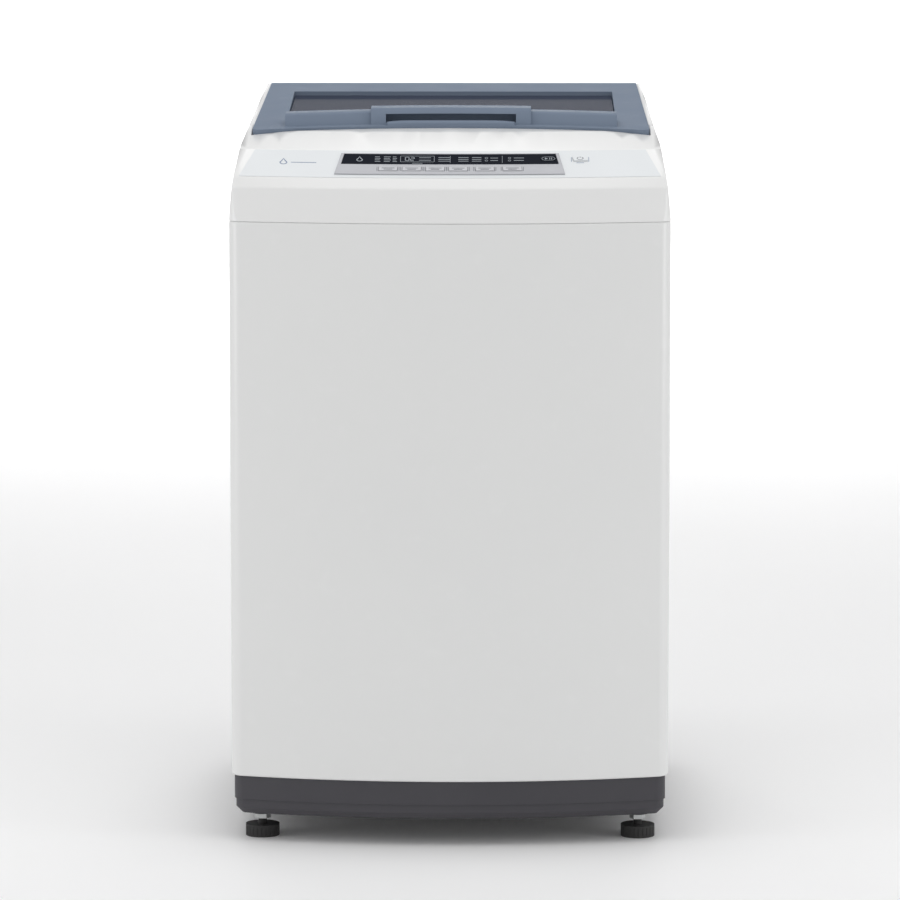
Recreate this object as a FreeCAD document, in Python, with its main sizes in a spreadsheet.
"""Compact top load washing machine: a parametric document of separate named pieces, in millimetres.

X runs to the machine's right, +Y to its back and +Z up. The origin is the middle of the footprint,
on the floor. The front is bowed in plan, so everything on the console is turned about one vertical
line, the bow axis. The lid's pieces are drawn about the lid hinge, which sits at the back.
"""
import FreeCAD, Part
import math
import os
import re

import Sketcher
from FreeCAD import Vector

SIZES = {
    # overall form
    "cabinet_width": 520, "cabinet_depth": 545, "total_height": 880, "front_bow": 35,
    "bow_edge": 14, "corner_radius": 18, "sheet": 1, "flange_width": 16,
    # heights of the joints between the outer pieces
    "base_bottom": 33, "base_floor": 5, "base_wall": 4, "base_inset": 3.3, "cabinet_bottom": 79.5,
    "cover_seam": 741, "base_opening": 130, "base_chamfer": 8,
    # top cover and console
    "cover_wall": 3, "band_height": 39.7, "band_lean": 2, "chin_run": 8, "chin_rise": 12,
    "console_slope": 25.3, "console_run": 61, "hump_slope": 17.5, "hump_run": 84,
    "hump_flat": 24, "eave_run": 9, "side_lean": 20, "cover_drop": 3, "edge_round": 7,
    "sheet_bend": 2.5, "base_step": 51, "base_step_inset": 1.7,
    "well_front": -88, "well_back": 205, "well_half_width": 200, "well_bottom": 757, "mouth_reach": 14,
    # lid
    "lid_thickness": 14, "lid_slope": 5.5, "lid_length": 354, "lid_front_width": 476,
    "lid_back_width": 462, "lid_gap": 1.2, "lid_setback": 27.5, "window_half_width": 199,
    "window_back": 75, "window_length": 218, "window_glass": 4, "window_ledge": 7,
    "window_sink": 5, "grip_ridge": 14, "grip_top_run": 24, "grip_setback": 14,
    "grip_block_half_width": 96, "grip_block_rise": 4.5, "grip_pocket_half_width": 78,
    "grip_pocket_height": 10, "grip_pocket_depth": 16, "pin_radius": 2.5, "pin_length": 16,
    "pin_clearance": 0.05, "bumper_radius": 5, "magnet_length": 24,
    "magnet_width": 10, "magnet_height": 4, "magnet_x": -221, "magnet_back": -200,
    "sensor_width": 18, "sensor_length": 40, "sensor_depth": 10,
    # console pieces
    "film_thickness": 0.5, "film_width": 496, "film_margin": 1.5, "bezel_width": 272,
    "bezel_height": 50, "bezel_thickness": 1.2, "bezel_from_edge": 8, "window_strip_width": 264,
    "window_strip_height": 25, "window_strip_drop": 0.2, "key_width": 22, "key_depth": 9,
    "key_proud": 2.1, "key_root": 1, "key_stem": 8, "key_stem_radius": 2.5, "key_gap": 0.4,
    "key_from_edge": 20.5, "round_key_width": 17, "round_key_depth": 9, "upper_key_from_edge": 44,
    "board_length": 260, "board_depth": 46, "board_thickness": 10, "board_drop": 26,
    # drum parts
    "drum_y": 4, "tub_radius": 225, "tub_wall": 3, "tub_floor": 296, "tub_top": 720,
    "tub_flange": 5, "tub_cover_height": 13, "tub_mouth": 186, "basket_radius": 207,
    "basket_sheet": 1, "basket_bottom": 330, "basket_top": 700, "balance_height": 28,
    "balance_inner": 178, "balance_outer": 211, "pulsator_radius": 165, "pulsator_height": 12,
    "pulsator_gap": 3, "fin_height": 20, "fin_width": 16, "fin_count": 6,
    "spin_shaft_radius": 16, "wash_shaft_radius": 8, "shaft_clearance": 0.05,
    "hub_flange_radius": 60, "filter_width": 70, "filter_height": 190,
    # drive
    "gearbox_radius": 55, "gearbox_bottom": 190, "gearbox_bore": 30, "gearbox_flange": 8,
    "bearing_height": 14,
    "bracket_sheet": 4, "bracket_width": 90, "pulley_radius": 90, "pulley_height": 16,
    "pulley_bottom": 148, "motor_radius": 52, "motor_height": 110, "motor_offset": 140,
    "motor_pulley_radius": 30, "belt_thickness": 5, "belt_width": 9, "motor_shaft_radius": 6,
    # suspension
    "rod_spread_x": 203, "rod_spread_y": 200, "rod_radius": 3, "rod_top": 712, "rod_bottom": 318,
    "ear_height": 404, "ear_thickness": 8, "ear_hole": 9, "spring_radius": 12, "spring_wire": 1.6,
    "spring_turns": 6, "cup_height": 10, "rod_nut_height": 8, "hanger_size": 34,
    "hanger_sheet": 3,
    # water and power
    "panel_setback": 24.5, "port_radius": 13.2, "port_length": 20, "port_spacing": 45,
    "port_x": -155, "valve_height": 62, "valve_depth": 22, "valve_bottom": 672,
    "housing_width": 104, "housing_depth": 54, "housing_height": 62, "housing_bottom": 764,
    "housing_x": -190, "drawer_clearance": 0.6, "drawer_wall": 2, "drain_x": 150, "drain_y": 80,
    "drain_height": 112, "drain_radius": 14, "drain_bore": 11, "drain_valve_radius": 22,
    "drain_valve_height": 44, "spout_drop": 26, "spout_reach": 28,
    "hose_radius": 13, "cord_x": 205, "cord_z": 140,
    "gland_radius": 11, "gland_bore": 4, "sensor_radius": 20, "sensor_height": 24,
    "sensor_x": 229, "sensor_y": 150,
    # feet
    "foot_radius": 20.2, "foot_height": 14, "foot_teeth": 24, "notch_radius": 1,
    "foot_x": 225, "foot_front": -192.5,
    "foot_back": 225, "stud_radius": 5, "stud_top": 56, "nut_width": 17, "nut_height": 6,
    "boss_radius": 13, "boss_bottom": 27, "screw_head": 4.2, "screw_inset": 60,
}

# Centres of the six keys of the lower row, and of the two keys above it, to the right of the middle.
LOWER_KEYS = {
    "delay_key": -72, "program_key": -44.3, "water_level_key": -17, "wash_key": 10,
    "rinse_key": 41.1, "spin_key": 73.2,
}
UPPER_KEYS = {"start_key": 115.6, "power_key": 153}

# Sizes that follow from the driving ones, as expressions of them.
HALF_WIDTH = "cabinet_width / 2"
FRONT = "-cabinet_depth / 2"
BACK = "cabinet_depth / 2"
BOW_HALF = f"({HALF_WIDTH} - bow_edge)"
BOW_RADIUS = f"(({BOW_HALF} * {BOW_HALF} + front_bow * front_bow) / (2 * front_bow))"
BOW_CENTRE = f"({FRONT} + {BOW_RADIUS})"
BAND_TOP = "(cover_seam + band_height)"
CONSOLE_RADIUS = f"({BOW_RADIUS} - band_lean - chin_run)"
CONSOLE_BASE = f"({BAND_TOP} + chin_rise)"
CONSOLE_TOP = f"({CONSOLE_BASE} + console_run * tan(console_slope))"
CREST_RADIUS = f"({CONSOLE_RADIUS} - console_run - hump_run)"
CREST_TOP = f"({CONSOLE_TOP} + hump_run * tan(hump_slope))"
HINGE_Y = f"({BACK} - lid_setback)"
HINGE_Z = "(total_height - lid_thickness / 2)"
PANEL_Y = f"({BACK} - panel_setback)"
FLOOR_TOP = "(tub_floor + 5)"
CORNERS = [(side, end) for side in (-1, 1) for end in (-1, 1)]

doc = FreeCAD.newDocument("WashingMachine")
sheet = doc.addObject("Spreadsheet::Sheet", "Sizes")
nodes = []


# ---------------------------------------------------------------- sheet and expression helpers
def fill_sheet():
    """Write every driving size into the sheet, with its name beside it."""
    for row, (alias, number) in enumerate(SIZES.items(), start=1):
        sheet.set(f"A{row}", alias)
        sheet.set(f"B{row}", str(number))
        sheet.setAlias(f"B{row}", alias)
    doc.recompute()


def linked(expression):
    """The expression with each size name pointed at its cell."""
    return re.sub(r"[a-z_]+", lambda word: f"Sizes.{word[0]}" if word[0] in SIZES else word[0],
                  str(expression))


def value(expression):
    """The number that an expression of the sizes gives now."""
    result = sheet.evalExpression(linked(expression))
    return float(getattr(result, "Value", result))


def bind(item, **expressions):
    """Tie each named property of an object to an expression of the sizes."""
    for name, expression in expressions.items():
        item.setExpression(name, linked(expression))


def place(item, x="0", y="0", z="0", yaw="0", pitch="0", roll="0"):
    """Tie an object's placement to expressions: a position, and turns about Z, Y and X."""
    item.setExpression("Placement", linked(
        f"placement(vector({x}; {y}; {z}); rotation({yaw}; {pitch}; {roll}))"))


def node(item, label):
    """Name an object as one of the machine's pieces."""
    item.Label = label
    nodes.append(item)
    return item


# ---------------------------------------------------------------- sketches and features
def new_sketch(body, plane="XY_Plane", across="0", up="0", offset="0"):
    """A sketch on one of the body's own planes, its origin moved by expressions."""
    sketch = body.newObject("Sketcher::SketchObject", "Sketch")
    origin_plane = next(f for f in body.Origin.OriginFeatures if f.Role == plane)
    sketch.AttachmentSupport = [(origin_plane, "")]
    sketch.MapMode = "FlatFace"
    for axis, expression in (("x", across), ("y", up), ("z", offset)):
        sketch.setExpression(f"AttachmentOffset.Base.{axis}", linked(expression))
    return sketch


def constrain(sketch, kind, arguments, expression):
    """Add one driving constraint whose size is an expression."""
    index = sketch.addConstraint(Sketcher.Constraint(kind, *arguments, value(expression)))
    sketch.renameConstraint(index, f"{kind}{index}")
    sketch.setExpression(f"Constraints.{kind}{index}", linked(expression))


def pin_point(sketch, edge, end, point):
    """Hold one point of an edge at a pair of expressions."""
    constrain(sketch, "DistanceX", (-1, 1, edge, end), point[0])
    constrain(sketch, "DistanceY", (-1, 1, edge, end), point[1])


def draw_polygon(sketch, corners):
    """A closed outline of straight edges through (across, up) pairs of expressions."""
    points = [Vector(value(across), value(up), 0) for across, up in corners]
    first = sketch.GeometryCount
    count = len(points)
    for index in range(count):
        sketch.addGeometry(Part.LineSegment(points[index], points[(index + 1) % count]))
    for index in range(count):
        edges = (first + index, 2, first + (index + 1) % count, 1)
        sketch.addConstraint(Sketcher.Constraint("Coincident", *edges))
        pin_point(sketch, first + index, 1, corners[index])


def draw_rectangle(sketch, left, bottom, right, top):
    """A closed rectangle between expressions."""
    draw_polygon(sketch, [(left, bottom), (right, bottom), (right, top), (left, top)])


def draw_circle(sketch, radius, across="0", up="0"):
    """A circle about a pair of expressions."""
    centre = Vector(value(across), value(up), 0)
    edge = sketch.addGeometry(Part.Circle(centre, Vector(0, 0, 1), value(radius)))
    constrain(sketch, "Radius", (edge,), radius)
    pin_point(sketch, edge, 3, (across, up))


def draw_plan_outline(sketch, inset="0"):
    """The machine's outline in plan, moved in by the inset: a bowed front, two round front
    corners, straight sides and a straight back."""
    half = value(f"{HALF_WIDTH} - ({inset})")
    back = value(f"{BACK} - ({inset})")
    radius = value(f"{BOW_RADIUS} - ({inset})")
    corner = value(f"corner_radius - ({inset})")
    centre = Vector(0, value(BOW_CENTRE), 0)
    corner_x = half - corner
    corner_y = centre.y - math.sqrt((radius - corner) ** 2 - corner_x ** 2)
    turn = math.atan2(corner_x, centre.y - corner_y)
    up = Vector(0, 0, 1)
    down = -math.pi / 2
    front = sketch.addGeometry(Part.ArcOfCircle(
        Part.Circle(centre, up, radius), down - turn, down + turn))
    right_corner = sketch.addGeometry(Part.ArcOfCircle(
        Part.Circle(Vector(corner_x, corner_y, 0), up, corner), down + turn, 0))
    right = sketch.addGeometry(Part.LineSegment(Vector(half, corner_y, 0), Vector(half, back, 0)))
    rear = sketch.addGeometry(Part.LineSegment(Vector(half, back, 0), Vector(-half, back, 0)))
    left = sketch.addGeometry(Part.LineSegment(Vector(-half, back, 0), Vector(-half, corner_y, 0)))
    left_corner = sketch.addGeometry(Part.ArcOfCircle(
        Part.Circle(Vector(-corner_x, corner_y, 0), up, corner), math.pi, math.pi - down - turn))
    for joint in ((front, 2, right_corner, 1), (right_corner, 2, right, 1),
                  (left, 2, left_corner, 1), (left_corner, 2, front, 1)):
        sketch.addConstraint(Sketcher.Constraint("Tangent", *joint))
    for joint in ((right, 2, rear, 1), (rear, 2, left, 1)):
        sketch.addConstraint(Sketcher.Constraint("Coincident", *joint))
    constrain(sketch, "Radius", (front,), f"{BOW_RADIUS} - ({inset})")
    constrain(sketch, "Radius", (right_corner,), f"corner_radius - ({inset})")
    constrain(sketch, "Radius", (left_corner,), f"corner_radius - ({inset})")
    pin_point(sketch, front, 3, ("0", BOW_CENTRE))
    pin_point(sketch, rear, 1, (f"{HALF_WIDTH} - ({inset})", f"{BACK} - ({inset})"))
    pin_point(sketch, rear, 2, (f"-({HALF_WIDTH} - ({inset}))", f"{BACK} - ({inset})"))
    sketch.addConstraint(Sketcher.Constraint("Vertical", right))
    sketch.addConstraint(Sketcher.Constraint("Vertical", left))


def pad(body, sketch, length, symmetric=False, reverse=False):
    """Raise a sketch into a solid."""
    feature = body.newObject("PartDesign::Pad", "Pad")
    feature.Profile = sketch
    feature.SideType = "Symmetric" if symmetric else "One side"
    feature.Reversed = reverse
    bind(feature, Length=length)
    doc.recompute()
    return feature


def pocket(body, sketch, length=None, symmetric=False, reverse=False):
    """Cut a sketch out of the body, all the way through where no length is given."""
    before = body.Shape.Volume
    feature = body.newObject("PartDesign::Pocket", "Pocket")
    feature.Profile = sketch
    feature.SideType = "Symmetric" if symmetric else "One side"
    feature.Reversed = reverse
    if length is None:
        feature.Type = "ThroughAll"
    else:
        bind(feature, Length=length)
    doc.recompute()
    if body.Shape.Volume > before - 1e-3:
        raise RuntimeError(f"{body.Label}: a pocket cut nothing")
    return feature


def turn(body, sketch, angle=None, cut=False):
    """Revolve a sketch about its own upright axis, through a full turn or a middled angle."""
    before = body.Shape.Volume if cut else 0
    feature = body.newObject("PartDesign::Groove" if cut else "PartDesign::Revolution", "Turn")
    feature.Profile = sketch
    feature.ReferenceAxis = (sketch, ["V_Axis"])
    if angle is None:
        feature.Angle = 360
    else:
        feature.Midplane = True
        bind(feature, Angle=angle)
    doc.recompute()
    if cut and body.Shape.Volume > before - 1e-3:
        raise RuntimeError(f"{body.Label}: a groove cut nothing")
    return feature


def round_edges(body, radius, chosen, kind="Fillet"):
    """Round, or chamfer, the edges that the test picks out of the body's last feature."""
    base = body.Tip
    names = [f"Edge{number}" for number, edge in enumerate(base.Shape.Edges, start=1) if chosen(edge)]
    if not names:
        raise RuntimeError(f"{body.Label}: no edge to round")
    feature = body.newObject(f"PartDesign::{kind}", kind)
    feature.Base = (base, names)
    bind(feature, **{"Radius" if kind == "Fillet" else "Size": radius})
    doc.recompute()
    return feature


def new_body(label, piece=True):
    """A body, which is one of the pieces unless it only helps to make one."""
    body = doc.addObject("PartDesign::Body", label)
    return node(body, label) if piece else body


def turned(label, corners, x="0", y="drum_y", piece=True):
    """A body of revolution about an upright axis, from (radius, height) corners."""
    body = new_body(label, piece)
    sketch = new_sketch(body, "XZ_Plane")
    draw_polygon(sketch, corners)
    turn(body, sketch)
    place(body, x, y)
    return body


# ---------------------------------------------------------------- primitives and booleans
def box(length, width, height, name="Box", **where):
    """A block with one corner at its placement."""
    item = doc.addObject("Part::Box", name)
    bind(item, Length=length, Width=width, Height=height)
    place(item, **where)
    return item


def cylinder(radius, height, name="Cylinder", **where):
    """A round bar that starts at its placement."""
    item = doc.addObject("Part::Cylinder", name)
    bind(item, Radius=radius, Height=height)
    place(item, **where)
    return item


def fused(pieces, name="Joined"):
    """Several solids made one, or kept side by side where they don't touch."""
    item = doc.addObject("Part::MultiFuse", name)
    item.Shapes = pieces
    doc.recompute()
    return item


def less(base, tools, name="Cut"):
    """A solid with other solids taken away."""
    for tool in tools:
        item = doc.addObject("Part::Cut", name)
        item.Base, item.Tool = base, tool
        doc.recompute()
        if item.Shape.Volume > base.Shape.Volume - 1e-3:
            raise RuntimeError(f"{name}: taking {tool.Label} away from {base.Label} cut nothing")
        base = item
    return base


def shared(first, second, name="Common"):
    """What two solids have in common."""
    item = doc.addObject("Part::Common", name)
    item.Base, item.Tool = first, second
    doc.recompute()
    return item


def ring(inner, outer, height, name="Ring", **where):
    """A round tube that starts at its placement."""
    return less(cylinder(outer, height, name, **where), [cylinder(inner, height, name, **where)])


def upright(edge):
    """Whether an edge runs straight up."""
    ends = edge.Vertexes
    if len(ends) != 2 or "Line" not in edge.Curve.TypeId:
        return False
    return abs(ends[0].X - ends[1].X) < 1e-4 and abs(ends[0].Y - ends[1].Y) < 1e-4


# ---------------------------------------------------------------- console geometry
def console_point(along, out):
    """A point of the console's section as (radius from the bow axis, height): a distance along
    the slope from its lower edge, and a distance out of its face."""
    radius = f"({CONSOLE_RADIUS} - ({along}) * cos(console_slope) + ({out}) * sin(console_slope))"
    height = f"({CONSOLE_BASE} + ({along}) * sin(console_slope) + ({out}) * cos(console_slope))"
    return radius, height


def console_band(label, width, start, height, low, high, piece=True):
    """A band that follows the console: its width, where it starts up the slope, its height up
    the slope, and its lower and upper faces measured out of the console."""
    body = new_body(label, piece)
    sketch = new_sketch(body, "YZ_Plane")
    corners = [console_point(start, low), console_point(f"{start} + {height}", low),
               console_point(f"{start} + {height}", high), console_point(start, high)]
    draw_polygon(sketch, [(f"-{radius}", level) for radius, level in corners])
    turn(body, sketch, f"2 * asin(({width}) / 2 / {CONSOLE_RADIUS})")
    place(body, y=BOW_CENTRE)
    return body


def on_console(item, x, along, out, shift_x="0", shift_y="0"):
    """Place an object square to the console, at a distance right of the middle."""
    face_radius = console_point(along, "0")[0]
    radius, level = console_point(f"({along}) + ({shift_y})", out)
    angle = f"asin(({x}) / {face_radius})"
    across = f"({radius} * sin({angle}) + ({shift_x}) * cos({angle}))"
    forward = f"({BOW_CENTRE} - {radius} * cos({angle}) + ({shift_x}) * sin({angle}))"
    place(item, across, forward, level, yaw=angle, roll="console_slope")
    return item


def key_block(width, depth, low, high, x, along, grow="0"):
    """A block square to the console, grown all round by a clearance."""
    wide, deep = f"({width} + 2 * ({grow}))", f"({depth} + 2 * ({grow}))"
    item = doc.addObject("Part::Box", "KeyBlock")
    bind(item, Length=wide, Width=deep, Height=f"({high}) - ({low})")
    return on_console(item, x, along, low, f"-{wide} / 2", f"-{deep} / 2")


def key_places():
    """Every key's name, place across the console, place up the slope, width and depth."""
    for label, x in LOWER_KEYS.items():
        yield label, x, "key_from_edge", "key_width", "key_depth"
    for label, x in UPPER_KEYS.items():
        yield label, x, "upper_key_from_edge", "round_key_width", "round_key_depth"


def key_holes():
    """The openings that the keys move in, as one tool."""
    blocks = [key_block(width, depth, "-cover_wall - 4", "key_proud + 2", x, along, "key_gap")
              for _, x, along, width, depth in key_places()]
    return fused(blocks, "KeyHoles")


# ---------------------------------------------------------------- outer pieces
def outline_block(name, inset, bottom, top):
    """A block with the machine's plan outline between two heights."""
    body = new_body(name, piece=False)
    sketch = new_sketch(body, offset=bottom)
    draw_plan_outline(sketch, inset)
    pad(body, sketch, f"({top}) - ({bottom})")
    return body


def make_cabinet():
    """The steel wrap: front, sides and joggled back edges, flanged at the top and bottom."""
    tall = "(cover_seam - cabinet_bottom)"
    outside = outline_block("CabinetOutside", "0", "cabinet_bottom", "cover_seam")
    round_edges(outside, "sheet_bend", lambda edge: not upright(edge))
    inside = outline_block("CabinetInside", "sheet", "cabinet_bottom + sheet", "cover_seam - sheet")
    mouth = outline_block("CabinetMouth", "flange_width", "cabinet_bottom - 1", "cover_seam + 1")
    back_half = f"({HALF_WIDTH} - flange_width)"
    opening = box(f"2 * {back_half}", "flange_width + 4", f"{tall} + 2",
                  x=f"-{back_half}", y=f"{BACK} - flange_width - 2", z="cabinet_bottom - 1")
    wrap = less(outside, [inside, mouth, opening])
    returns = []
    for side in (-1, 1):
        step_x = f"{back_half}" if side > 0 else f"-{back_half} - sheet"
        lip_x = f"{back_half} - flange_width" if side > 0 else f"-{back_half}"
        returns.append(box("sheet", "panel_setback", tall, x=step_x, y=PANEL_Y, z="cabinet_bottom"))
        returns.append(box("flange_width + sheet", "sheet", tall,
                           x=lip_x if side > 0 else f"{lip_x} - sheet", y=f"{PANEL_Y} - sheet",
                           z="cabinet_bottom"))
    node(fused([wrap] + returns), "cabinet")


def make_rear_panel():
    """The flat back panel, with holes for the ports, and folded edges at its top and bottom."""
    half = f"({HALF_WIDTH} - flange_width - 1)"
    plate = box(f"2 * {half}", "sheet", "cover_seam - cabinet_bottom - 2",
                x=f"-{half}", y=PANEL_Y, z="cabinet_bottom + 1")
    folds = [box(f"2 * {half}", "flange_width", "sheet", x=f"-{half}", y=PANEL_Y, z=height)
             for height in ("cabinet_bottom + 1", "cover_seam - 1 - sheet")]
    holes = [cylinder("port_radius + 1", "8", x=f"port_x + {index} * port_spacing",
                      y=f"{PANEL_Y} + 5", z="valve_bottom + 22", roll="90") for index in (0, 1)]
    holes.append(cylinder("drain_radius + 1", "8", x="drain_x", y=f"{PANEL_Y} + 5",
                          z="drain_height", roll="90"))
    holes.append(cylinder("gland_radius + 0.3", "8", x="cord_x", y=f"{PANEL_Y} + 5", z="cord_z", roll="90"))
    node(less(fused([plate] + folds), holes), "rear_panel")


def make_base():
    """The plastic base tray: walls, an open floor and the four foot bosses."""
    upper = outline_block("BaseUpper", "base_inset", "base_step", "cabinet_bottom")
    lower = outline_block("BaseLower", "base_inset + base_step_inset", "base_bottom", "base_step")
    round_edges(lower, "base_chamfer", lambda edge: abs(edge.CenterOfMass.z - value("base_bottom")) < 0.01
                and abs(edge.CenterOfMass.x) > value("foot_x"), "Chamfer")
    outside = fused([upper, lower])
    inside = outline_block("BaseInside", "base_inset + base_step_inset + base_wall",
                           "base_bottom + base_floor",
                           "cabinet_bottom + 1")
    opening = cylinder("base_opening", "base_floor + 2", y="drum_y", z="base_bottom - 1")
    bosses = [cylinder("boss_radius", "stud_top - boss_bottom", x=foot_x, y=foot_y, z="boss_bottom")
              for _, foot_x, foot_y in foot_places()]
    bores = [cylinder("stud_radius + shaft_clearance", "60", x=foot_x, y=foot_y, z="boss_bottom - 2")
             for _, foot_x, foot_y in foot_places()]
    tray = fused([less(outside, [inside, opening])] + bosses)
    node(less(tray, bores), "base")


def foot_places():
    """Each foot's name and place."""
    for end, foot_y in (("front", "foot_front"), ("rear", "foot_back")):
        for side, foot_x in (("left", "-foot_x"), ("right", "foot_x")):
            yield f"{end}_{side}_foot", foot_x, foot_y


def make_feet():
    """Four levelling feet: a toothed disc with a stud, and the locknuts above them."""
    locknuts = []
    for label, foot_x, foot_y in foot_places():
        disc = cylinder("foot_radius", "foot_height")
        stud = cylinder("stud_radius", "stud_top", x="0", y="0")
        notches = []
        for index in range(SIZES["foot_teeth"]):
            turned_by = f"{index} * 360 / foot_teeth"
            notches.append(cylinder("notch_radius", "foot_height - 4",
                                    x=f"(foot_radius + 0.3) * cos({turned_by})",
                                    y=f"(foot_radius + 0.3) * sin({turned_by})", z="2"))
        foot = less(fused([disc, stud]), [fused(notches)])
        moved = doc.addObject("Part::Compound", "Foot")
        moved.Links = [foot]
        place(moved, foot_x, foot_y)
        node(moved, label)
        locknuts.append(less(hexagon("nut_width", "nut_height", foot_x, foot_y, "boss_bottom - nut_height"),
                             [cylinder("stud_radius + shaft_clearance", "20", x=foot_x, y=foot_y,
                                       z="boss_bottom - 13")]))
    node(fused(locknuts), "foot_locknuts")


def hexagon(across_flats, height, x, y, z):
    """A six-sided bar."""
    item = doc.addObject("Part::Prism", "Hexagon")
    item.Polygon = 6
    bind(item, Circumradius=f"{across_flats} / 2 / cos(30)", Height=height)
    place(item, x, y, z)
    return item


def cover_form(name, inset, lid_sink, bottom):
    """The top cover's outer form moved in by an inset: the plan outline, cut to the leaning
    sides, the console and hump at the front, and a plane that follows the lid."""
    body = new_body(name, piece=False)
    outline = new_sketch(body, offset=bottom)
    draw_plan_outline(outline, inset)
    pad(body, outline, f"total_height + 5 - ({bottom})")
    sides = new_sketch(body, "XZ_Plane")
    edge = f"({HALF_WIDTH} - ({inset}))"
    for sign in ("", "-"):
        draw_polygon(sides, [
            (f"{sign}({edge})", "cover_seam"), (f"{sign}({edge} - side_lean * 0.2)", BAND_TOP),
            (f"{sign}({edge} - side_lean * 0.55)", f"{BAND_TOP} + 48"),
            (f"{sign}({edge} - side_lean)", "total_height - 14"),
            (f"{sign}({edge} - side_lean - 6)", "total_height + 10"),
            (f"{sign}({edge} + 40)", "total_height + 10"), (f"{sign}({edge} + 40)", "cover_seam")])
    pocket(body, sides, symmetric=True)
    air = new_sketch(body, "YZ_Plane", across=BOW_CENTRE)
    section = [(BOW_RADIUS, "cover_seam"), (f"{BOW_RADIUS} - band_lean", BAND_TOP),
               (CONSOLE_RADIUS, CONSOLE_BASE), (f"{CONSOLE_RADIUS} - console_run", CONSOLE_TOP),
               (CREST_RADIUS, CREST_TOP), (f"{CREST_RADIUS} - hump_flat", CREST_TOP),
               (f"{CREST_RADIUS} - hump_flat", "total_height + 40"),
               (f"{BOW_RADIUS} + 60", "total_height + 40"), (f"{BOW_RADIUS} + 60", "cover_seam")]
    draw_polygon(air, [(f"-({radius} - ({inset}))", f"{level} - ({inset})")
                       for radius, level in section])
    turn(body, air, cut=True)
    above = new_sketch(body, "YZ_Plane", across=HINGE_Y, up=HINGE_Z)
    rise = f"(lid_thickness / 2 - cover_drop - ({lid_sink}))"
    far = "(lid_length + 150)"
    edge = f"({BACK} - {HINGE_Y} - ({inset}))"
    draw_polygon(above, [(f"-{far}", f"{rise} - {far} * tan(lid_slope)"),
                         (f"{edge} - eave_run", f"{rise} + ({edge} - eave_run) * tan(lid_slope)"),
                         (f"{edge} + 1", f"{rise} - eave_run"),
                         (f"{BACK} - {HINGE_Y} + 40", f"{rise} - eave_run"),
                         (f"{BACK} - {HINGE_Y} + 40", "80"), (f"-{far}", "80")])
    pocket(body, above, symmetric=True)
    return body


def follows_bow(edge):
    """Whether an edge of the cover is a level arc about the bow axis, above its lower rim."""
    return (edge.Curve.TypeId == "Part::GeomCircle" and abs(edge.Curve.Center.x) < 0.1
            and edge.CenterOfMass.z > value("cover_seam") + 1
            and abs(edge.Curve.Center.y - value(BOW_CENTRE)) < 1
            and edge.Curve.Radius > value(f"{CREST_RADIUS} - 1"))


def lid_outline_block(name, grow, low, high):
    """A block over the lid's tapered plan, drawn about the hinge and grown by a gap."""
    body = new_body(name, piece=False)
    sketch = new_sketch(body, offset=low)
    back, front = f"(lid_thickness / 2 + {grow})", f"-(lid_length + {grow})"
    draw_polygon(sketch, [(f"-(lid_back_width / 2 + {grow})", back),
                          (f"lid_back_width / 2 + {grow}", back),
                          (f"lid_front_width / 2 + {grow}", front),
                          (f"-(lid_front_width / 2 + {grow})", front)])
    pad(body, sketch, f"({high}) - ({low})")
    place(body, y=HINGE_Y, z=HINGE_Z, roll="lid_slope")
    return body


def make_top_cover():
    """The white top cover: a thin shell with the console, the seat that the lid drops into,
    and the sleeve that leads down to the basket."""
    outside = cover_form("CoverOutside", "0", "0", "cover_seam")
    round_edges(outside, "edge_round", follows_bow)
    inside = cover_form("CoverInside", "cover_wall", "lid_thickness + 2 + cover_wall - cover_drop",
                        "cover_seam - 1")
    shell = less(outside, [inside])
    sleeve_block = box("2 * (well_half_width + cover_wall)", "well_back - well_front + 2 * cover_wall",
                       "total_height - well_bottom", x="-(well_half_width + cover_wall)",
                       y="well_front - cover_wall", z="well_bottom")
    sleeve = shared(sleeve_block, outside)
    well = new_body("WellSpace", piece=False)
    sketch = new_sketch(well, offset="cover_seam - 5")
    draw_rectangle(sketch, "-well_half_width", "well_front", "well_half_width", "well_back")
    pad(well, sketch, "total_height - cover_seam + 10")
    round_edges(well, "36", upright)
    lid_seat = lid_outline_block("LidSeat", "lid_gap", "-lid_thickness / 2 - 1", "60")
    drawer_mouth = box("housing_width + 1", "cover_wall + 2 + mouth_reach", "housing_height + 1",
                       x="housing_x - 0.5", y="well_back - mouth_reach", z="housing_bottom - 0.5")
    pin_hole = cylinder("pin_radius + pin_clearance", "lid_back_width + 12",
                        x="-(lid_back_width / 2 + 6)", y=HINGE_Y, z=HINGE_Z, pitch="90")
    screw_seats = fused(cover_screw_heads("screw_head + 0.2"))
    cover = less(fused([shell, sleeve]),
                 [well, lid_seat, drawer_mouth, pin_hole, key_holes(), screw_seats])
    node(cover, "top_cover")


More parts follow.
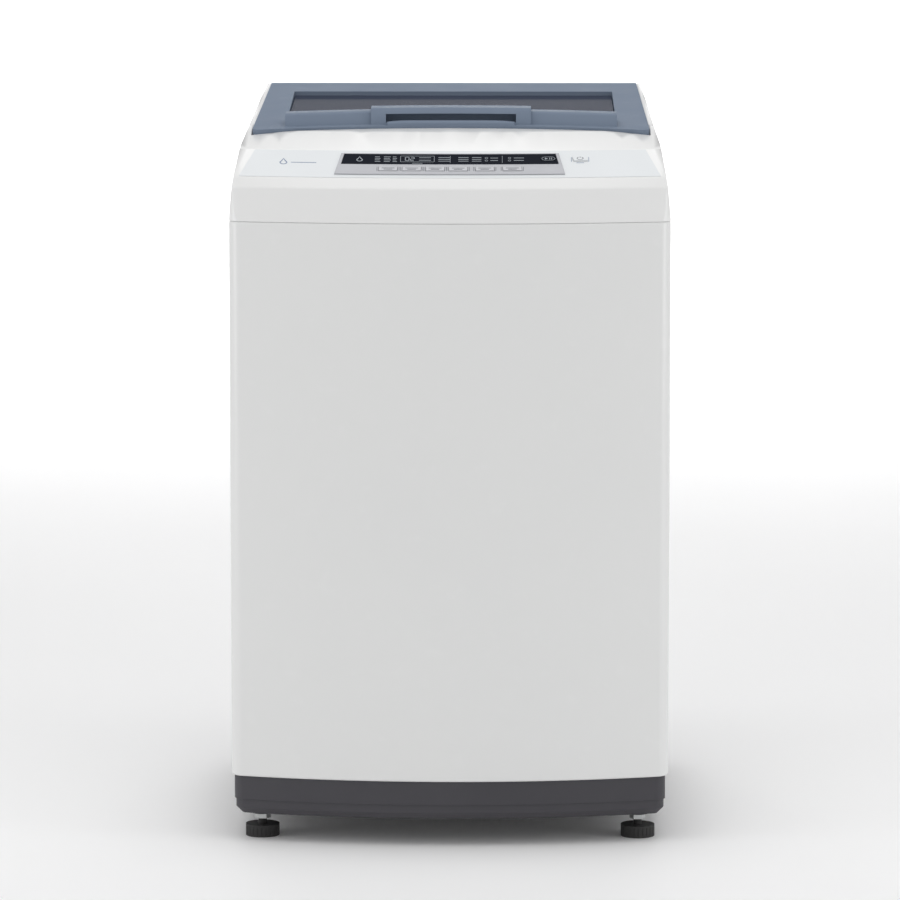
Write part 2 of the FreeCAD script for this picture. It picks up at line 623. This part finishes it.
# ---------------------------------------------------------------- console pieces
def make_console():
    """The console's film, the display's bezel and window, the keys and the board below them."""
    film = console_band("ConsoleFilm", "film_width", "film_margin",
                        "console_run / cos(console_slope) - 2 * film_margin", "0", "film_thickness", False)
    node(less(film, [key_holes()]), "control_film")
    bezel_face = "(film_thickness + bezel_thickness)"
    strip_start = "(bezel_from_edge + bezel_height - window_strip_height - 1.5)"
    bezel = console_band("Bezel", "bezel_width", "bezel_from_edge", "bezel_height",
                         "film_thickness", bezel_face, False)
    seat = console_band("StripSeat", "window_strip_width", strip_start, "window_strip_height",
                        "film_thickness", f"{bezel_face} + 2", False)
    node(less(bezel, [seat, key_holes()]), "display_bezel")
    strip = console_band("Strip", "window_strip_width - 0.4", f"{strip_start} + 0.2",
                         "window_strip_height - 0.4", "film_thickness",
                         f"{bezel_face} - window_strip_drop", False)
    node(less(strip, [key_holes()]), "display_window")
    for label, x, along, width, depth in key_places():
        cap = key_block(width, depth, "-key_root", "key_proud", x, along)
        stem = cylinder("key_stem_radius", "key_stem + key_root / 2")
        on_console(stem, x, along, "-key_root - key_stem")
        node(fused([cap, stem]), label)
    board = doc.addObject("Part::Box", "Board")
    bind(board, Length="board_length", Width="board_depth", Height="board_thickness")
    on_console(board, "0", "console_run / 2", "-board_drop", "-board_length / 2", "-board_depth / 2")
    node(board, "control_board")


# ---------------------------------------------------------------- lid
def lid_placed(item, across="0", back="0", up="0", pitch="0"):
    """Place an object in the lid's own axes: across, back from the hinge, and out of its face."""
    place(item, across, f"{HINGE_Y} + ({back}) * cos(lid_slope) - ({up}) * sin(lid_slope)",
          f"{HINGE_Z} + ({back}) * sin(lid_slope) + ({up}) * cos(lid_slope)", pitch=pitch, roll="lid_slope")
    return item


def make_lid():
    """The lid's frame with its grip ridge and finger pocket, the window, and the small pieces."""
    frame_body = lid_outline_block("LidPlate", "0", "-lid_thickness / 2", "lid_thickness / 2")
    half = "lid_thickness / 2"
    round_edges(frame_body, "lid_thickness / 2 - 0.6",
                lambda edge: edge.CenterOfMass.y > 4 and edge.Length > value("lid_back_width") - 1)
    round_edges(frame_body, "12", lambda edge: edge.CenterOfMass.y < -value("lid_length") + 1
                and edge.Length < value("lid_thickness") + 1)
    ridge = new_sketch(frame_body, "YZ_Plane")
    front = "-(lid_length - grip_setback)"
    draw_polygon(ridge, [(front, f"{half} - 2"), (f"{front} + 7", f"{half} + grip_ridge - 2"),
                         (f"{front} + 11", f"{half} + grip_ridge"),
                         (f"{front} + 11 + grip_top_run", f"{half} + grip_ridge - 1"),
                         (f"{front} + 11 + grip_top_run + 32", f"{half} - 2")])
    pad(frame_body, ridge, "2 * window_half_width", symmetric=True)
    block = new_sketch(frame_body, "YZ_Plane")
    draw_polygon(block, [(f"{front} - 4", f"{half} - 2"),
                         (f"{front} + 3", f"{half} + grip_ridge + grip_block_rise - 3"),
                         (f"{front} + 7", f"{half} + grip_ridge + grip_block_rise"),
                         (f"{front} + 9 + grip_top_run", f"{half} + grip_ridge + grip_block_rise - 1"),
                         (f"{front} + 9 + grip_top_run + 34", f"{half} - 2")])
    pad(frame_body, block, "2 * grip_block_half_width", symmetric=True)
    opening = new_sketch(frame_body, offset="-lid_thickness / 2 - 1")
    window_front = "-(window_back + window_length)"
    draw_rectangle(opening, "-(window_half_width - window_ledge)", f"{window_front} + window_ledge",
                   "window_half_width - window_ledge", "-window_back - window_ledge")
    pocket(frame_body, opening, "lid_thickness + 60", reverse=True)
    rebate = new_sketch(frame_body, offset="lid_thickness / 2 - window_sink - window_glass")
    draw_rectangle(rebate, "-window_half_width", window_front, "window_half_width", "-window_back")
    pocket(frame_body, rebate, "60", reverse=True)
    finger = new_sketch(frame_body, "YZ_Plane")
    draw_rectangle(finger, f"{front} - 8", f"{half} + 2", f"{front} + grip_pocket_depth",
                   f"{half} + 2 + grip_pocket_height")
    pocket(frame_body, finger, "2 * grip_pocket_half_width", symmetric=True)
    bore = cylinder("pin_radius", "lid_back_width + 4", x="-(lid_back_width / 2 + 2)", y=HINGE_Y,
                    z=HINGE_Z, pitch="90")
    keep = box("lid_back_width - 2 * pin_length", "20", "20", x="-(lid_back_width / 2 - pin_length)",
               y=f"{HINGE_Y} - 10", z=f"{HINGE_Z} - 10")
    magnet_seat = box("magnet_width + 0.4", "magnet_length + 0.4", "magnet_height + 0.2")
    lid_placed(magnet_seat, "magnet_x - 0.2", "magnet_back - 0.2", "-lid_thickness / 2 - 0.2")
    node(less(frame_body, [less(bore, [keep]), magnet_seat]), "lid_frame")
    glass = box("2 * window_half_width - 1", "window_length - 1", "window_glass")
    lid_placed(glass, "-window_half_width + 0.5", f"{window_front} + 0.5",
               "lid_thickness / 2 - window_sink - window_glass")
    node(glass, "lid_window")
    pins = [cylinder("pin_radius", "pin_length + 5", y=HINGE_Y, z=HINGE_Z, pitch="90", x=start)
            for start in ("lid_back_width / 2 - pin_length", "-lid_back_width / 2 - 5")]
    node(fused(pins), "lid_pins")
    bumpers = []
    for across in ("-(lid_front_width / 2 - 14)", "lid_front_width / 2 - 14"):
        for back in ("-(lid_length - 12)", "-40"):
            bumper = cylinder("bumper_radius", "0.8")
            bumpers.append(lid_placed(bumper, across, back, "-lid_thickness / 2 - 0.8"))
    node(fused(bumpers), "lid_bumpers")
    magnet = box("magnet_width", "magnet_length", "magnet_height")
    node(lid_placed(magnet, "magnet_x", "magnet_back", "-lid_thickness / 2"), "lid_magnet")
    sensor = box("sensor_width", "sensor_length", "sensor_depth")
    node(lid_placed(sensor, "magnet_x - 3", "magnet_back - 8",
                    "-lid_thickness / 2 - 1 - cover_wall - 1.1 - sensor_depth"), "lid_sensor")


# ---------------------------------------------------------------- tub, basket and drive
def make_tub():
    """The outer tub with its sump port and four ears, and the ring that covers its mouth."""
    wall = turned("TubWall", [
        ("gearbox_bore", "tub_floor"), ("tub_radius", "tub_floor"), ("tub_radius", "tub_top - tub_flange"),
        ("tub_radius + 5", "tub_top - tub_flange"), ("tub_radius + 5", "tub_top"),
        ("tub_radius - tub_wall", "tub_top"), ("tub_radius - tub_wall", FLOOR_TOP),
        ("gearbox_bore", FLOOR_TOP)], piece=False)
    ears, holes = [], []
    for side, end in CORNERS:
        angle = f"atan2({end} * rod_spread_y; {side} * rod_spread_x)"
        reach = "sqrt(rod_spread_x * rod_spread_x + rod_spread_y * rod_spread_y)"
        ears.append(box(f"{reach} - tub_radius + 20", "40", "ear_thickness", yaw=angle,
                        x=f"(tub_radius - 2) * cos({angle}) + 20 * sin({angle})",
                        y=f"drum_y + (tub_radius - 2) * sin({angle}) - 20 * cos({angle})", z="ear_height"))
        holes.append(cylinder("ear_hole", "ear_thickness + 4", x=f"{side} * rod_spread_x",
                              y=f"drum_y + {end} * rod_spread_y", z="ear_height - 2"))
    drain = cylinder("drain_bore", "30", x="drain_x", y="drum_y + drain_y", z="tub_floor - 10")
    node(less(fused([wall] + ears), holes + [drain]), "outer_tub")
    turned("tub_cover", [
        ("tub_mouth", "tub_top + tub_cover_height - 3"), ("tub_mouth + 4", "tub_top + 1"),
        ("tub_radius - tub_wall - 1", "tub_top + 1"), ("tub_radius - tub_wall - 1", "tub_top"),
        ("tub_radius + 4", "tub_top"), ("tub_radius + 4", "tub_top + 5"),
        ("tub_radius - 8", "tub_top + tub_cover_height"), ("tub_mouth + 2", "tub_top + tub_cover_height")])


def make_basket():
    """The stainless basket, its base, the balance ring on top, and the lint filters."""
    turned("basket_wall", [
        ("basket_radius - basket_sheet", "basket_bottom + 6"), ("basket_radius", "basket_bottom + 6"),
        ("basket_radius", "basket_top"), ("basket_radius - basket_sheet", "basket_top")])
    rim = "(basket_radius - basket_sheet)"
    turned("basket_base", [
        ("spin_shaft_radius + 0.5", "basket_bottom"), (rim, "basket_bottom"),
        (rim, "basket_bottom + 34"), (f"{rim} - 8", "basket_bottom + 34"),
        ("pulsator_radius + 8", "basket_bottom + 14"), ("pulsator_radius + 5", "basket_bottom + 6"),
        ("spin_shaft_radius + 0.5", "basket_bottom + 6")])
    turned("balance_ring", [
        ("balance_inner + 6", "basket_top - 8"), (rim, "basket_top - 8"), (rim, "basket_top"),
        ("balance_outer", "basket_top"), ("balance_outer", "basket_top + balance_height - 14"),
        ("balance_outer - 6", "basket_top + balance_height - 10"),
        ("balance_inner + 4", "basket_top + balance_height - 10"), ("balance_inner", "basket_top + 6"),
        ("balance_inner", "basket_top")])
    filters = []
    for side in (-1, 1):
        start = f"{rim} - 16" if side > 0 else f"-({rim} - 16) - 12"
        filters.append(box("12", "filter_width", "filter_height", x=start,
                           y="drum_y - filter_width / 2", z="basket_bottom + 120"))
    clip = cylinder(f"{rim} - 0.3", "filter_height + 20", y="drum_y", z="basket_bottom + 110")
    node(shared(fused(filters), clip), "lint_filters")


def make_pulsator():
    """The pulsator: a shallow disc with a raised cap and curved-topped fins, on its shaft."""
    low = "(basket_bottom + 6 + pulsator_gap)"
    disc = turned("PulsatorDisc", [
        ("0", low), ("pulsator_radius - 4", low), ("pulsator_radius", f"{low} + 4"),
        ("pulsator_radius - 3", f"{low} + pulsator_height"), ("70", f"{low} + pulsator_height - 3"),
        ("42", f"{low} + pulsator_height + 12"), ("30", f"{low} + pulsator_height + 16"),
        ("0", f"{low} + pulsator_height + 18")], piece=False)
    fins = []
    for index in range(SIZES["fin_count"]):
        angle = f"{index} * 360 / fin_count"
        fin = doc.addObject("Part::Wedge", "Fin")
        bind(fin, Xmin="0", Xmax="pulsator_radius - 40", X2min="8", X2max="pulsator_radius - 56",
             Ymin="0", Ymax="fin_height", Zmin="0", Zmax="fin_width", Z2min="5", Z2max="fin_width - 5")
        place(fin, f"30 * cos({angle}) - fin_width / 2 * sin({angle})",
              f"drum_y + 30 * sin({angle}) + fin_width / 2 * cos({angle})", f"{low} + 6",
              yaw=angle, roll="90")
        fins.append(fin)
    top = f"{low} + 10"
    socket = cylinder("wash_shaft_radius + shaft_clearance", f"{top} - basket_bottom", y="drum_y",
                      z="basket_bottom")
    node(less(fused([disc] + fins), [socket]), "pulsator")
    node(cylinder("wash_shaft_radius", f"{top} - (gearbox_bottom + 16)", y="drum_y",
                  z="gearbox_bottom + 16"), "wash_shaft")


def make_shafts():
    """The spin shaft with its flange, and the seal and bearings around it."""
    bore = "(wash_shaft_radius + shaft_clearance)"
    turned("spin_shaft", [
        (bore, "gearbox_bottom + 22"), ("spin_shaft_radius", "gearbox_bottom + 22"),
        ("spin_shaft_radius", "basket_bottom - 10"), ("hub_flange_radius", "basket_bottom - 10"),
        ("hub_flange_radius", "basket_bottom"), ("spin_shaft_radius", "basket_bottom"),
        ("spin_shaft_radius", "basket_bottom + 6"), (bore, "basket_bottom + 6")])
    seat = "(spin_shaft_radius + shaft_clearance)"
    turned("shaft_seal", [
        (seat, "tub_floor - 2"), ("gearbox_bore", "tub_floor - 2"), ("gearbox_bore", "tub_floor + 12"),
        ("gearbox_bore - 6", "tub_floor + 15"), (seat, "tub_floor + 15")])
    bearings = [ring(seat, "gearbox_bore", "bearing_height", y="drum_y", z=level)
                for level in ("gearbox_bottom + 26", "tub_floor - 4 - bearing_height")]
    node(fused(bearings), "hub_bearings")


def make_drive():
    """The gearbox case, the bracket that ties it and the motor to the tub, pulleys and belt."""
    neck_radius = "wash_shaft_radius + shaft_clearance + 2"
    flange_top = "tub_floor - bracket_sheet"
    turned("gearbox_housing", [
        (neck_radius, "gearbox_bottom"), ("gearbox_radius - 12", "gearbox_bottom"),
        ("gearbox_radius", "gearbox_bottom + 14"), ("gearbox_radius", f"{flange_top} - gearbox_flange"),
        ("gearbox_radius + 14", f"{flange_top} - gearbox_flange"), ("gearbox_radius + 14", flange_top),
        ("gearbox_bore", flange_top), ("gearbox_bore", "gearbox_bottom + 10"),
        (neck_radius, "gearbox_bottom + 10")])
    bars = [box("2 * tub_radius - 60", "bracket_width", "bracket_sheet", x="-(tub_radius - 30)",
                y="drum_y - bracket_width / 2", z="tub_floor - bracket_sheet"),
            box("bracket_width", "2 * tub_radius - 60", "bracket_sheet", x="-bracket_width / 2",
                y="drum_y - tub_radius + 30", z="tub_floor - bracket_sheet")]
    hole = cylinder("gearbox_bore", "20", y="drum_y", z="tub_floor - 10")
    node(less(fused(bars), [hole]), "drive_bracket")
    motor_x = "-motor_offset"
    motor_top = "(tub_floor - bracket_sheet)"
    can = cylinder("motor_radius", "motor_height", x=motor_x, y="drum_y", z=f"{motor_top} - motor_height")
    neck = cylinder("motor_shaft_radius + shaft_clearance", "motor_height - 40", x=motor_x, y="drum_y",
                    z=f"{motor_top} - motor_height - 1")
    node(less(can, [neck]), "motor_body")
    make_pulley("drive_pulley", "pulley_radius", "0", "wash_shaft_radius", "gearbox_bottom + 14")
    make_pulley("motor_rotor", "motor_pulley_radius", motor_x, "motor_shaft_radius",
                f"{motor_top} - motor_height + 40")
    belt = new_body("drive_belt")
    sketch = new_sketch(belt, offset="pulley_bottom + (pulley_height - belt_width) / 2")
    for extra in ("0.4", "belt_thickness"):
        draw_belt_line(sketch, f"(pulley_radius - 6 + {extra})", f"(motor_pulley_radius - 6 + {extra})")
    pad(belt, sketch, "belt_width")
    place(belt, y="drum_y")


def make_pulley(label, radius, x, shaft_radius, shaft_top):
    """A grooved pulley with its shaft."""
    low, high = "pulley_bottom", "(pulley_bottom + pulley_height)"
    turned(label, [
        ("0", f"{low} - 4"), (f"{shaft_radius} + 6", f"{low} - 4"), (f"{shaft_radius} + 6", low),
        (radius, low), (radius, f"{low} + 2"), (f"{radius} - 6", f"{low} + 3"),
        (f"{radius} - 6", f"{high} - 3"), (radius, f"{high} - 2"), (radius, high),
        (shaft_radius, high), (shaft_radius, shaft_top), ("0", shaft_top)], x=x)


def draw_belt_line(sketch, large, small):
    """A closed line round two circles, the small one to the left of the large one."""
    gap = value("motor_offset")
    lean = math.asin((value(large) - value(small)) / gap)
    up = Vector(0, 0, 1)
    far = Vector(-gap, 0, 0)
    start = math.pi / 2 + lean
    big_arc = sketch.addGeometry(Part.ArcOfCircle(
        Part.Circle(Vector(0, 0, 0), up, value(large)), -start, start))
    small_arc = sketch.addGeometry(Part.ArcOfCircle(
        Part.Circle(far, up, value(small)), start, 2 * math.pi - start))
    ends = [(radius * math.cos(start), radius * math.sin(start)) for radius in (value(large), value(small))]
    top = sketch.addGeometry(Part.LineSegment(
        Vector(ends[0][0], ends[0][1], 0), Vector(ends[1][0] - gap, ends[1][1], 0)))
    bottom = sketch.addGeometry(Part.LineSegment(
        Vector(ends[1][0] - gap, -ends[1][1], 0), Vector(ends[0][0], -ends[0][1], 0)))
    for joint in ((big_arc, 2, top, 1), (top, 2, small_arc, 1), (small_arc, 2, bottom, 1),
                  (bottom, 2, big_arc, 1)):
        sketch.addConstraint(Sketcher.Constraint("Tangent", *joint))
    constrain(sketch, "Radius", (big_arc,), large)
    constrain(sketch, "Radius", (small_arc,), small)
    pin_point(sketch, big_arc, 3, ("0", "0"))
    pin_point(sketch, small_arc, 3, ("-motor_offset", "0"))


# ---------------------------------------------------------------- suspension
def make_suspension():
    """Four corner hangers, the rods that hang in them, and the springs and cups that the tub's
    ears rest on."""
    hangers, rods, springs, cups = [], [], [], []
    nut_top = "(rod_bottom + rod_nut_height)"
    spring_top = "(ear_height - cup_height)"
    for side, end in CORNERS:
        where = {"x": f"{side} * rod_spread_x", "y": f"drum_y + {end} * rod_spread_y"}
        inner_edge = "rod_spread_x - hanger_size / 2" if side > 0 else f"-({HALF_WIDTH} - sheet)"
        plate = box(f"{HALF_WIDTH} - sheet - rod_spread_x + hanger_size / 2", "hanger_size",
                    "hanger_sheet", x=inner_edge, y=f"drum_y + {end} * rod_spread_y - hanger_size / 2",
                    z="rod_top - 14")
        hangers.append(less(plate, [cylinder("rod_radius + 1", "10", z="rod_top - 18", **where)]))
        rod = cylinder("rod_radius", "rod_top - rod_bottom", z="rod_bottom", **where)
        head = cylinder("rod_radius + 6", "8", z="rod_top - 11", **where)
        nut = cylinder("rod_radius + 9", "rod_nut_height", z="rod_bottom", **where)
        rods.append(fused([rod, head, nut]))
        cups.append(less(cylinder("spring_radius + 4", "cup_height", z=spring_top, **where),
                         [cylinder("rod_radius + 1", "cup_height + 4", z=f"{spring_top} - 2", **where)]))
        springs.append(make_spring(where, f"{nut_top} + spring_wire",
                                   f"{spring_top} - {nut_top} - 2 * spring_wire"))
    node(fused(hangers), "corner_hangers")
    node(fused(rods), "suspension_rods")
    node(fused(cups), "suspension_cups")
    group = doc.addObject("Part::Compound", "Springs")
    group.Links = springs
    node(group, "suspension_springs")


def make_spring(where, bottom, height):
    """One coil spring, as a round wire swept along a helix."""
    helix = doc.addObject("Part::Helix", "Helix")
    bind(helix, Pitch=f"({height}) / spring_turns", Height=height, Radius="spring_radius")
    wire = doc.addObject("Part::Circle", "Wire")
    bind(wire, Radius="spring_wire")
    place(wire, x="spring_radius", roll="90")
    sweep = doc.addObject("Part::Sweep", "Spring")
    sweep.Sections = [wire]
    doc.recompute()
    sweep.Spine = (helix, ["Edge1"])
    sweep.Solid = True
    sweep.Frenet = True
    place(sweep, z=bottom, **where)
    doc.recompute()
    return sweep


# ---------------------------------------------------------------- water and power
def make_water_parts():
    """The two inlet valves, the detergent housing and its drawer, the level sensor, and the
    drain's valve, hose and outlet."""
    for index, label in enumerate(("hot_inlet_valve", "cold_inlet_valve")):
        x = f"(port_x + {index} * port_spacing)"
        case = box("34", "valve_depth", "valve_height", x=f"{x} - 17", y=f"{PANEL_Y} - valve_depth",
                   z="valve_bottom")
        port = cylinder("port_radius", "port_length + 2", x=x, y=f"{PANEL_Y} + port_length",
                        z="valve_bottom + 22", roll="90")
        outlet = cylinder("6", f"housing_bottom - valve_bottom - valve_height + 6", x=x,
                          y=f"{PANEL_Y} - valve_depth / 2", z="valve_bottom + valve_height")
        hollow = cylinder("port_radius - 3", "port_length - 4", x=x, y=f"{PANEL_Y} + port_length + 1",
                          z="valve_bottom + 22", roll="90")
        node(less(fused([case, port, outlet]), [hollow]), label)
    gap = "drawer_clearance"
    case = box("housing_width", "housing_depth", "housing_height", x="housing_x",
               y="well_back + 1", z="housing_bottom")
    room = box("housing_width - 8", "housing_depth - 3", "housing_height - 14", x="housing_x + 4",
               y="well_back", z="housing_bottom + 10")
    outlets = [cylinder("6.2", "14", x=f"port_x + {index} * port_spacing",
                        y=f"{PANEL_Y} - valve_depth / 2", z="housing_bottom - 1") for index in (0, 1)]
    node(less(case, [room] + outlets), "detergent_housing")
    wide = "(housing_width - 8 - 2 * drawer_clearance)"
    deep, tall = "(housing_depth - 5)", "(housing_height - 16)"
    tray = box(wide, deep, tall, x=f"housing_x + 4 + {gap}", y="well_back + 1",
               z=f"housing_bottom + 10 + {gap}")
    inner = box(f"({wide} - 2 * drawer_wall)", f"({deep} - 2 * drawer_wall - 2)", tall,
                x=f"housing_x + 4 + {gap} + drawer_wall", y="well_back + 1 + drawer_wall + 2",
                z=f"housing_bottom + 10 + {gap} + drawer_wall")
    front = box("housing_width - 1", "3", "housing_height - 1", x="housing_x + 0.5",
                y="well_back - 2", z="housing_bottom + 0.5")
    node(less(fused([tray, front]), [inner]), "detergent_drawer")
    node(cylinder("sensor_radius", "sensor_height", x="sensor_x", y="sensor_y",
                  z="cover_seam + 4"), "level_sensor")
    body = cylinder("drain_valve_radius", "drain_valve_height", x="drain_x", y="drum_y + drain_y",
                    z="tub_floor - drain_valve_height")
    spout = cylinder("drain_radius", "drain_valve_radius + spout_reach", x="drain_x",
                     y="drum_y + drain_y + drain_valve_radius + spout_reach",
                     z="tub_floor - spout_drop", roll="90")
    bore = cylinder("drain_bore", "20", x="drain_x", y="drum_y + drain_y", z="tub_floor - 9")
    actuator = box("36", "34", "30", x="drain_x - 18", y="drum_y + drain_y - drain_valve_radius - 26",
                   z="tub_floor - 41")
    node(less(fused([body, spout, actuator]), [bore]), "drain_valve")
    tail = cylinder("drain_radius", "port_length + 4", x="drain_x", y=f"{PANEL_Y} + port_length",
                    z="drain_height", roll="90")
    collar = cylinder("drain_radius + 6", "3", x="drain_x", y=f"{PANEL_Y} + 4", z="drain_height", roll="90")
    hole = cylinder("drain_bore", "port_length + 8", x="drain_x", y=f"{PANEL_Y} + port_length + 1",
                    z="drain_height", roll="90")
    node(less(fused([tail, collar]), [hole]), "drain_outlet")
    make_drain_hose()
    gland = fused([cylinder("gland_radius", "10", x="cord_x", y=f"{PANEL_Y} + 8", z="cord_z", roll="90"),
                   cylinder("gland_radius + 3", "3", x="cord_x", y=f"{PANEL_Y} + 4", z="cord_z", roll="90")])
    node(less(gland, [cylinder("gland_bore", "20", x="cord_x", y=f"{PANEL_Y} + 12", z="cord_z", roll="90")]),
         "cord_gland")


def make_drain_hose():
    """The hose inside the cabinet: back from the drain valve, down, and back to the outlet."""
    start_y, end_y = value("drum_y + drain_y + drain_valve_radius + spout_reach"), value(f"{PANEL_Y} - 4")
    top, low, x = value("tub_floor - spout_drop"), value("drain_height"), value("drain_x")
    reach = (end_y - start_y) / 2
    bend = reach * 0.9
    middle = start_y + reach
    half = math.sqrt(0.5)
    points = [Vector(x, start_y, top), Vector(x, middle - bend, top),
              Vector(x, middle - bend + bend * half, top - bend + bend * half),
              Vector(x, middle, top - bend), Vector(x, middle, low + bend),
              Vector(x, middle + bend - bend * half, low + bend - bend * half),
              Vector(x, middle + bend, low), Vector(x, end_y, low)]
    route = Part.Wire([Part.LineSegment(points[0], points[1]).toShape(),
                       Part.Arc(points[1], points[2], points[3]).toShape(),
                       Part.LineSegment(points[3], points[4]).toShape(),
                       Part.Arc(points[4], points[5], points[6]).toShape(),
                       Part.LineSegment(points[6], points[7]).toShape()])
    circle = Part.Wire(Part.Circle(points[0], Vector(0, 1, 0), value("hose_radius")).toShape())
    solid = route.makePipeShell([circle], True, True)
    expected = math.pi * value("hose_radius") ** 2 * route.Length
    if abs(solid.Volume / expected - 1) > 0.02:
        raise RuntimeError("the drain hose's volume isn't its section times its length")
    item = doc.addObject("Part::Feature", "DrainHose")
    item.Shape = solid
    node(item, "drain_hose")


def make_screws():
    """The screws that hold the rear panel, and those that hold the top cover at the back."""
    heads = []
    pitch = "(cover_seam - cabinet_bottom - 2 * screw_inset) / 3"
    for side in (-1, 1):
        for level in range(4):
            heads.append(cylinder("screw_head", "2.4", x=f"{side} * ({HALF_WIDTH} - flange_width - 8)",
                                  y=f"{PANEL_Y} + sheet + 2.4",
                                  z=f"cabinet_bottom + screw_inset + {level} * {pitch}",
                                  roll="90"))
    node(fused(heads), "panel_screws")
    node(fused(cover_screw_heads("screw_head")), "cover_screws")


def cover_screw_heads(radius):
    """The three screw heads let into the top cover's back, or, larger, the seats for them."""
    return [cylinder(radius, "cover_wall - 1", x=f"{side} * (cabinet_width / 2 - 60)", y=BACK,
                     z="cover_seam + 14", roll="90") for side in (-1, 0, 1)]


# ---------------------------------------------------------------- build, check and write
def check_document():
    """Stop if any object failed, or if any piece isn't a sound solid."""
    for item in doc.Objects:
        bad = [state for state in item.State if "Invalid" in state or "Error" in state]
        if bad:
            owners = [owner.Label for owner in item.InListRecursive]
            raise RuntimeError(f"{item.Label} ({item.TypeId}) in {owners} failed: {bad}")
    for item in nodes:
        shape = item.Shape
        if shape.isNull() or not shape.isValid() or not shape.Solids:
            raise RuntimeError(f"{item.Label} isn't a sound solid")


def write_pieces():
    """Write each piece's file."""
    os.makedirs("parts", exist_ok=True)
    for item in nodes:
        item.Shape.exportStep(os.path.join("parts", f"{item.Label}.step"))
        box_ = item.Shape.BoundBox
        print(f"{item.Label:22s} {len(item.Shape.Solids)} solids  {item.Shape.Volume / 1000:9.1f} cm3  "
              f"x {box_.XMin:.1f}..{box_.XMax:.1f}  y {box_.YMin:.1f}..{box_.YMax:.1f}  "
              f"z {box_.ZMin:.1f}..{box_.ZMax:.1f}")
    print(len(nodes), "pieces")


fill_sheet()
for step in (make_cabinet, make_rear_panel, make_base, make_feet, make_top_cover, make_console, make_lid,
             make_tub, make_basket, make_pulsator, make_shafts, make_drive, make_suspension,
             make_water_parts, make_screws):
    step()
doc.recompute()
check_document()
write_pieces()
